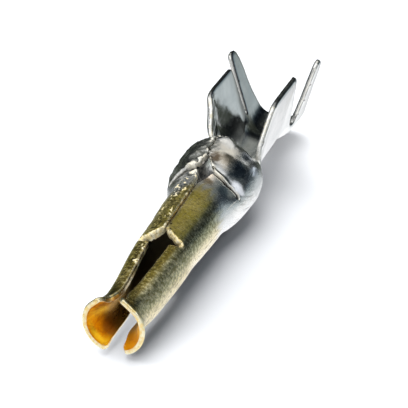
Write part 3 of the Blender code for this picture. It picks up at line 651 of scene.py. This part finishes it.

    # painted reflections, highlights and shade on the collar, and brown and beige marks: station, angle / 100, their
    # half sizes, colour, strength and dullness
    matt = t.math('MULTIPLY', t.math('MULTIPLY', t.ramp(burr, .25, .75), .75), t.ramp(t.math('MAXIMUM', behind, under), 0, 1, 1, .1))
    matt = t.math('ADD', matt, t.math('MULTIPLY', t.math('MULTIPLY', inner, collar), t.ramp(fine, .40, .60, .25, .60)))
    matt = t.math('MAXIMUM', matt, t.math('MULTIPLY', t.math('MULTIPLY', brow, t.ramp(u, 0, -.05, .15, .60)), t.ramp(pits, 0, 1, 1, .2)))
    warp = t.noise(blank, 4.2, 5.0, .65)
    warp2 = t.noise(t.vec(u, s, 7.0), 4.2, 5.0, .65)
    for s0, a0, rs, ra, tone, much, dull_by in (
            (7.60, .500, 1.90, .150, (.42, .47, .52), .45, .05),     # faint bluish painted reflection that the darker places lie in
            (7.90, -.420, .90, .230, (.22, .25, .26), .82, .0),      # painted dark reflection on the left cheek
            (6.42, .500, .36, .130, (.27, .35, .42), .88, .0),       # painted dark blue reflection on the tin in front of the slit
            (8.58, .480, .26, .150, (.17, .20, .25), .90, .05),      # painted dark reflection on the rear shoulder
            (7.13, .270, .10, .230, (.46, .48, .50), .85, .20),      # painted grey reflection along the shoulder of the slit
            (7.45, .220, .30, .190, (.46, .42, .36), .95, .22),      # brown wash behind the slit
            (7.95, .200, .56, .190, (.84, .78, .66), .95, .60),      # painted cream highlight on top
            (8.42, .110, .32, .110, (.97, .94, .87), .95, .70),
            (7.50, .270, .17, .120, (.20, .175, .14), .80, .08),     # brown edge of it
            (7.34, .100, .20, .080, (.12, .09, .06), .95, .06),      # brown spot
            (7.50, .490, .42, .165, (.06, .088, .13), .95, .03),     # painted dark blue reflection
            # painted dark blue reflection running on toward the slit's end
            (7.16, .610, .18, .080, (.13, .17, .22), .60, .05),
            (8.12, .680, .28, .075, (.40, .48, .58), .80, .30),      # painted pale highlight haze at its edge
            (8.05, .880, .60, .150, (.80, .82, .82), .75, .45),      # painted grey reflection on the right flank
            # painted blue-white highlight dashes
            (8.22, .675, .16, .023, (.85, .93, 1.0), .95, .60),
            (7.98, .700, .13, .018, (.80, .88, .97), .90, .50),
            (7.05, .640, .18, .150, (.95, .97, 1.0), 1.0, .85),      # painted white highlight on the shoulder
            (6.62, .130, .22, .125, (.97, .85, .70), .90, .45),      # beige tongue
            (6.32, .160, .18, .110, (.32, .22, .10), .75, .10),
            (6.40, .765, .36, .012, (.93, .90, .82), .90, .55),      # painted light line along the crease under the slit's end
            (6.80, .735, .050, .030, (.02, .02, .02), .98, 0.0)):    # painted shade at the end of the slit
        x = t.math('MULTIPLY', t.math('SUBTRACT', s, s0), 1 / rs)
        y = t.math('MULTIPLY', t.math('SUBTRACT', angle, a0), 1 / ra)
        q = t.math('SQRT', t.math('ADD', t.math('MULTIPLY', x, x), t.math('MULTIPLY', y, y)))
        q = t.math('ADD', q, t.math('MULTIPLY', t.math('SUBTRACT', warp if a0 < .3 else warp2, .5), 1.3))
        q = t.math('ADD', q, t.math('MULTIPLY', t.math('SUBTRACT', fine, .5), .9))
        spot = t.math('MULTIPLY', t.ramp(q, 1.40, .35), t.ramp(w, 0.0, .04))
        colour = t.mix(t.math('MULTIPLY', spot, much), colour, rgb(*tone))
        matt = t.mix(spot, matt, rgb(dull_by, dull_by, dull_by))
    t.put(bsdf.inputs['Base Color'], colour)
    flank = t.math('MULTIPLY', t.ramp(s, 3.7, 2.7), t.ramp(angle, .49, .62))
    haze = t.math('ADD', t.math('MULTIPLY', dull, .25), t.math('MULTIPLY', flank, .21))
    scuffs = t.math('MULTIPLY', t.math('MULTIPLY', t.ramp(angle, -.80, -.62), t.ramp(angle, -.05, -.14)), t.math('MULTIPLY', t.ramp(s, .9, 1.4), t.ramp(s, 6.7, 6.3)))
    haze = t.math('ADD', haze, t.math('MULTIPLY', scuffs, t.ramp(fine, .42, .60, .03, .24)))
    t.put(bsdf.inputs['Metallic'], t.ramp(t.math('ADD', matt, haze), 0, 1, 1, 0))

    rough = t.math('ADD', t.ramp(streak, .35, .70, .15, .26), t.ramp(fine, .4, .75, 0, .07))
    rough = t.math('SUBTRACT', rough, t.math('MULTIPLY', wings, .115))
    rough = t.math('ADD', rough, t.math('MULTIPLY', flare, .12))
    rough = t.math('ADD', rough, t.math('MULTIPLY', inner_shade, .15))
    rough = t.math('ADD', rough, t.math('MULTIPLY', matt, .30))
    rough = t.math('ADD', rough, t.math('MULTIPLY', edges, .10))
    rough = t.math('ADD', rough, t.math('MULTIPLY', flank, .20))
    t.put(bsdf.inputs['Roughness'], rough)

    # bump: waves, streaks, roll marks, pits and shear lines
    scratch = t.noise(t.vec(t.math('MULTIPLY', u, 30.0), t.math('MULTIPLY', s, 1.2), w), 1.6, 4.0, .7)
    height = t.math('MULTIPLY', streak, .0030)
    height = t.math('ADD', height, t.math('MULTIPLY', hoop, .0018))
    height = t.math('ADD', height, t.math('MULTIPLY', t.noise(blank, 4.5, 4.0, .55, .4), .0046))
    height = t.math('ADD', height, t.math('MULTIPLY', fine, .0060))
    height = t.math('ADD', height, t.math('MULTIPLY', grain, .0022))
    height = t.math('ADD', height, t.math('MULTIPLY', scratch, .0006))
    height = t.math('MULTIPLY', height, t.ramp(wings, 0, 1, 1.0, .35))
    height = t.math('MULTIPLY', height, t.ramp(inner, 0, 1, 1.0, .4))
    shear = t.noise(t.vec(t.math('MULTIPLY', u, 22.0), t.math('MULTIPLY', s, 22.0), t.math('MULTIPLY', w, 4.0)), 1.0, 3.0, .6)
    rag = t.math('ADD', t.math('MULTIPLY', cut, t.ramp(wings, 0, 1, .0050, .0012)), t.math('MULTIPLY', burr, .006))
    height = t.math('ADD', height, t.math('MULTIPLY', rag, shear))
    bump = t.add('ShaderNodeBump')
    bump.inputs['Strength'].default_value = 1.0
    bump.inputs['Distance'].default_value = MM
    t.put(bump.inputs['Height'], height)
    t.put(bsdf.inputs['Normal'], bump.outputs[0])
    return mat


def floor_material():
    mat = bpy.data.materials.new("pale_sweep")
    mat.use_nodes = True
    t = Nodes(mat.node_tree)
    out = t.add('ShaderNodeOutputMaterial')
    bsdf = t.add('ShaderNodeBsdfPrincipled')
    t.tree.links.new(bsdf.outputs[0], out.inputs[0])
    place = t.add('ShaderNodeTexCoord').outputs['Object']
    tone = t.noise(place, 60.0, 2.0)
    t.put(bsdf.inputs['Base Color'], t.mix(tone, rgb(.895, .905, .925), rgb(.925, .93, .94)))
    bsdf.inputs['Roughness'].default_value = .75
    bsdf.inputs['Specular IOR Level'].default_value = .2
    return mat


# ---------------------------------------------------------------- build
sheet = formed_sheet()
sheet.data.materials.append(plated_sheet())
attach(sheet, "root")
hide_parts("contact_body")

bm = bmesh.new()
bmesh.ops.create_circle(bm, cap_ends=True, radius=.075, segments=96)
floor_mesh = bpy.data.meshes.new("floor")
bm.to_mesh(floor_mesh)
bm.free()
floor = bpy.data.objects.new("floor", floor_mesh)
floor.location = (0, .01, 0)
bpy.context.scene.collection.objects.link(floor)
floor.data.materials.append(floor_material())
floor.visible_glossy = False

# ---------------------------------------------------------------- light
KEY = .064


def softbox(name, place, aim, size, power, colour=(1, 1, 1)):
    data = bpy.data.lights.new(name, 'AREA')
    data.shape, data.size, data.size_y = 'RECTANGLE', size[0] * MM, size[1] * MM
    data.energy, data.color = power, colour
    obj = bpy.data.objects.new(name, data)
    obj.location = Vector(place) * MM
    obj.rotation_mode = 'QUATERNION'
    obj.rotation_quaternion = (Vector(aim) * MM - obj.location).to_track_quat('-Z', 'Y')
    bpy.context.scene.collection.objects.link(obj)
    obj.visible_glossy = False
    return obj


softbox("key", (-18, 6, 53), (0, 0, 0), (80, 80), KEY)
# low fills keep the shadows beside the wings and under the mouth faint
softbox("rear_fill", (5.0, 8.2, 3.2), (1.8, 5.2, 0), (3, 3), .00026)
softbox("mouth_fill", (-1.0, -12.0, 3.0), (-.2, -7.8, 0), (3, 3), .00020)

world = bpy.data.worlds.new("studio")
bpy.context.scene.world = world
world.use_nodes = True
t = Nodes(world.node_tree)
out = t.add('ShaderNodeOutputWorld')
direction = t.add('ShaderNodeTexCoord').outputs['Generated']
sep = t.add('ShaderNodeSeparateXYZ', Vector=direction)
X, Y, Z = sep.outputs


def bands(value, stops):
    """Colour bands over -1..1."""
    node = t.add('ShaderNodeValToRGB', Fac=t.math('MULTIPLY_ADD', value, .5))
    node.inputs[0].links[0].from_node.inputs[2].default_value = .5
    el = node.color_ramp.elements
    el[0].position, el[0].color = (stops[0][0] + 1) / 2, rgb(*stops[0][1])
    el[1].position, el[1].color = (stops[-1][0] + 1) / 2, rgb(*stops[-1][1])
    for place, colour in stops[1:-1]:
        el.new((place + 1) / 2).color = rgb(*colour)
    return node.outputs[0]


back = bands(Z, [(-.60, (1.15, 1.15, 1.16)), (-.50, (1.05, 1.05, 1.06)), (-.34, (.22, .235, .24)), (-.12, (.118, .128, .096)),
                 (.15, (.017, .021, .023)), (.34, (.045, .048, .046)), (.44, (.16, .165, .15)), (.60, (.20, .20, .175)),
                 (.74, (.30, .30, .27)), (.86, (.85, .84, .81)), (.94, (1.0, .99, .96))])
right_side = bands(Z, [(-.60, (1.05, 1.05, 1.05)), (-.44, (.90, .90, .89)), (-.28, (.58, .63, .64)), (-.11, (.36, .41, .42)),
                       (.0, (.12, .155, .17)), (.12, (.022, .03, .042)), (.27, (.028, .034, .04)), (.40, (.13, .15, .145)),
                       (.66, (.22, .23, .21)), (.80, (.90, .89, .86))])
front = bands(Z, [(-.6, (1.0, .99, .97)), (-.2, (.86, .85, .83)), (.0, (.36, .37, .38)), (.18, (.55, .56, .57)),
                  (.35, (1.05, 1.05, 1.05)), (.6, (1.3, 1.3, 1.3)), (.85, (1.2, 1.2, 1.18))])
room = t.mix(t.ramp(X, .12, .45), back, right_side)
room = t.mix(t.ramp(Y, .15, -.25), room, front)
sheen = t.add('ShaderNodeBackground', Color=room, Strength=1.0)
soft = t.add('ShaderNodeBackground', Color=rgb(.110, .130, .160), Strength=1.0)
plain = t.add('ShaderNodeBackground', Color=rgb(1, 1, 1), Strength=1.15)
ray = t.add('ShaderNodeLightPath')
one = t.add('ShaderNodeMixShader')
t.put(one.inputs[0], ray.outputs['Is Diffuse Ray'])
t.put(one.inputs[1], sheen.outputs[0])
t.put(one.inputs[2], soft.outputs[0])
both = t.add('ShaderNodeMixShader')
t.put(both.inputs[0], ray.outputs['Is Camera Ray'])
t.put(both.inputs[1], one.outputs[0])
t.put(both.inputs[2], plain.outputs[0])
t.put(out.inputs[0], both.outputs[0])

# ---------------------------------------------------------------- camera
# Bearing, height and distance of the view, read against the barrel axis; millimetres and degrees.
PHI, ELEV, ROLL = math.radians(70.54), math.radians(27.3), math.radians(-.76)
DIST, SIDE, RISE, PX_MM = 30.0, 60.83 / 38.33, 79.77 / 38.33, 38.33
axis = Vector((math.cos(PHI), math.sin(PHI), 0))
beam = Vector((math.sin(PHI), -math.cos(PHI), 0))
fwd = Vector((0, math.cos(ELEV), -math.sin(ELEV)))
right, up = Vector((1, 0, 0)), Vector((0, math.sin(ELEV), math.cos(ELEV)))
right, up = math.cos(ROLL) * right + math.sin(ROLL) * up, -math.sin(ROLL) * right + math.cos(ROLL) * up


def turned(v):
    """From the view's level axes to the part's."""
    return Vector((v.dot(beam), v.dot(axis), v.z))


low, high = form_box()
target = Vector((-(low[0] + high[0]) / 2, 1.84 - (low[1] + high[1]) / 2, -REST_Z))
spot = target + turned(right * SIDE + up * RISE - fwd * DIST)
cam_data = bpy.data.cameras.new("camera")
cam = bpy.data.objects.new("camera", cam_data)
bpy.context.scene.collection.objects.link(cam)
cam_data.sensor_width = 36.0
cam_data.lens = PX_MM * DIST / 408 * 36.0
cam_data.clip_start, cam_data.clip_end = .001, 10
r, q, b = turned(right), turned(up), turned(-fwd)
cam.matrix_world = Matrix(((r.x, q.x, b.x, spot.x * MM), (r.y, q.y, b.y, spot.y * MM), (r.z, q.z, b.z, spot.z * MM), (0, 0, 0, 1)))
bpy.context.scene.camera = cam

scene = bpy.context.scene
scene.view_settings.view_transform = 'Standard'
scene.view_settings.look = 'None'
scene.cycles.use_denoising = True
scene.cycles.max_bounces = 14
scene.cycles.caustics_reflective = False
scene.cycles.caustics_refractive = False
scene.cycles.glossy_bounces = 12
